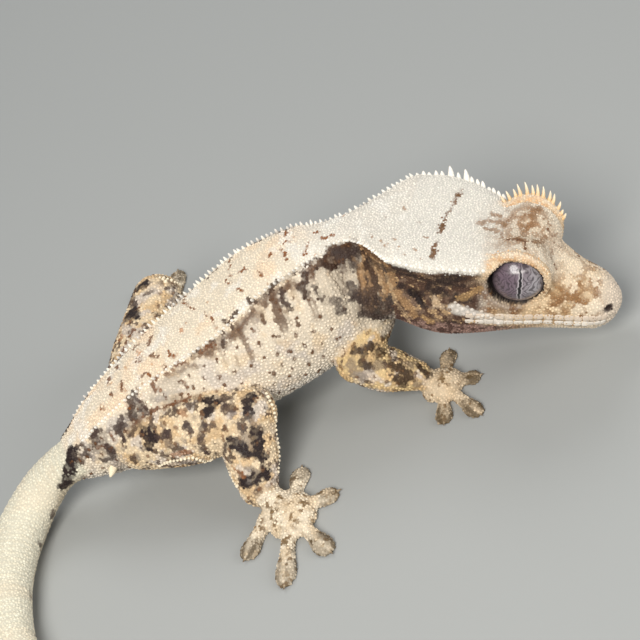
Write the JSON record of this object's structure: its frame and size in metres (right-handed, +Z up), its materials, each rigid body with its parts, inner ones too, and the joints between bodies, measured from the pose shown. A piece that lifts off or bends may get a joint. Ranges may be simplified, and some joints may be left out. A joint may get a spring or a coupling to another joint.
{
  "type": "crested gecko",
  "caption": "Still life-size crested gecko standing low on spread padded feet, head turned to its right, fringed brows and head crest, tail curled along the floor.",
  "frame": {"origin": "centre of the footprint box, on the floor the feet and tail rest on", "axes": "+X along the trunk from hips to shoulders, +Y to the animal's left, +Z up"},
  "size_m": [0.0822, 0.0768, 0.0219],
  "materials": {
    "skin_body": "fine granular scales, cream back over mottled brown and grey flanks",
    "skin_limb": "fine granular scales, golden tan with dark brown blotches",
    "skin_foot": "fine granular scales, pale cream with brown specks and grey-brown toe tips",
    "skin_tail": "fine ringed scales, pale cream yellow",
    "spine": "pale ivory spines of the crest and brows",
    "claw": "pale horn",
    "eye": "glossy grey-mauve eye with dark veining and a slit pupil"
  },
  "bodies": {
    "root": {"head": "skin_body", "lower_jaw": "skin_body", "eye_left": "eye", "eye_right": "eye", "neck": "skin_body", "torso": "skin_body", "fore_left_upper": "skin_limb", "fore_left_lower": "skin_limb", "fore_left_foot": "skin_foot", "fore_right_upper": "skin_limb", "fore_right_lower": "skin_limb", "fore_right_foot": "skin_foot", "hind_left_upper": "skin_limb", "hind_left_lower": "skin_limb", "hind_left_foot": "skin_foot", "hind_right_upper": "skin_limb", "hind_right_lower": "skin_limb", "hind_right_foot": "skin_foot", "tail_1": "skin_tail", "tail_2": "skin_tail", "tail_3": "skin_tail", "tail_4": "skin_tail"}
  },
  "joints": []
}
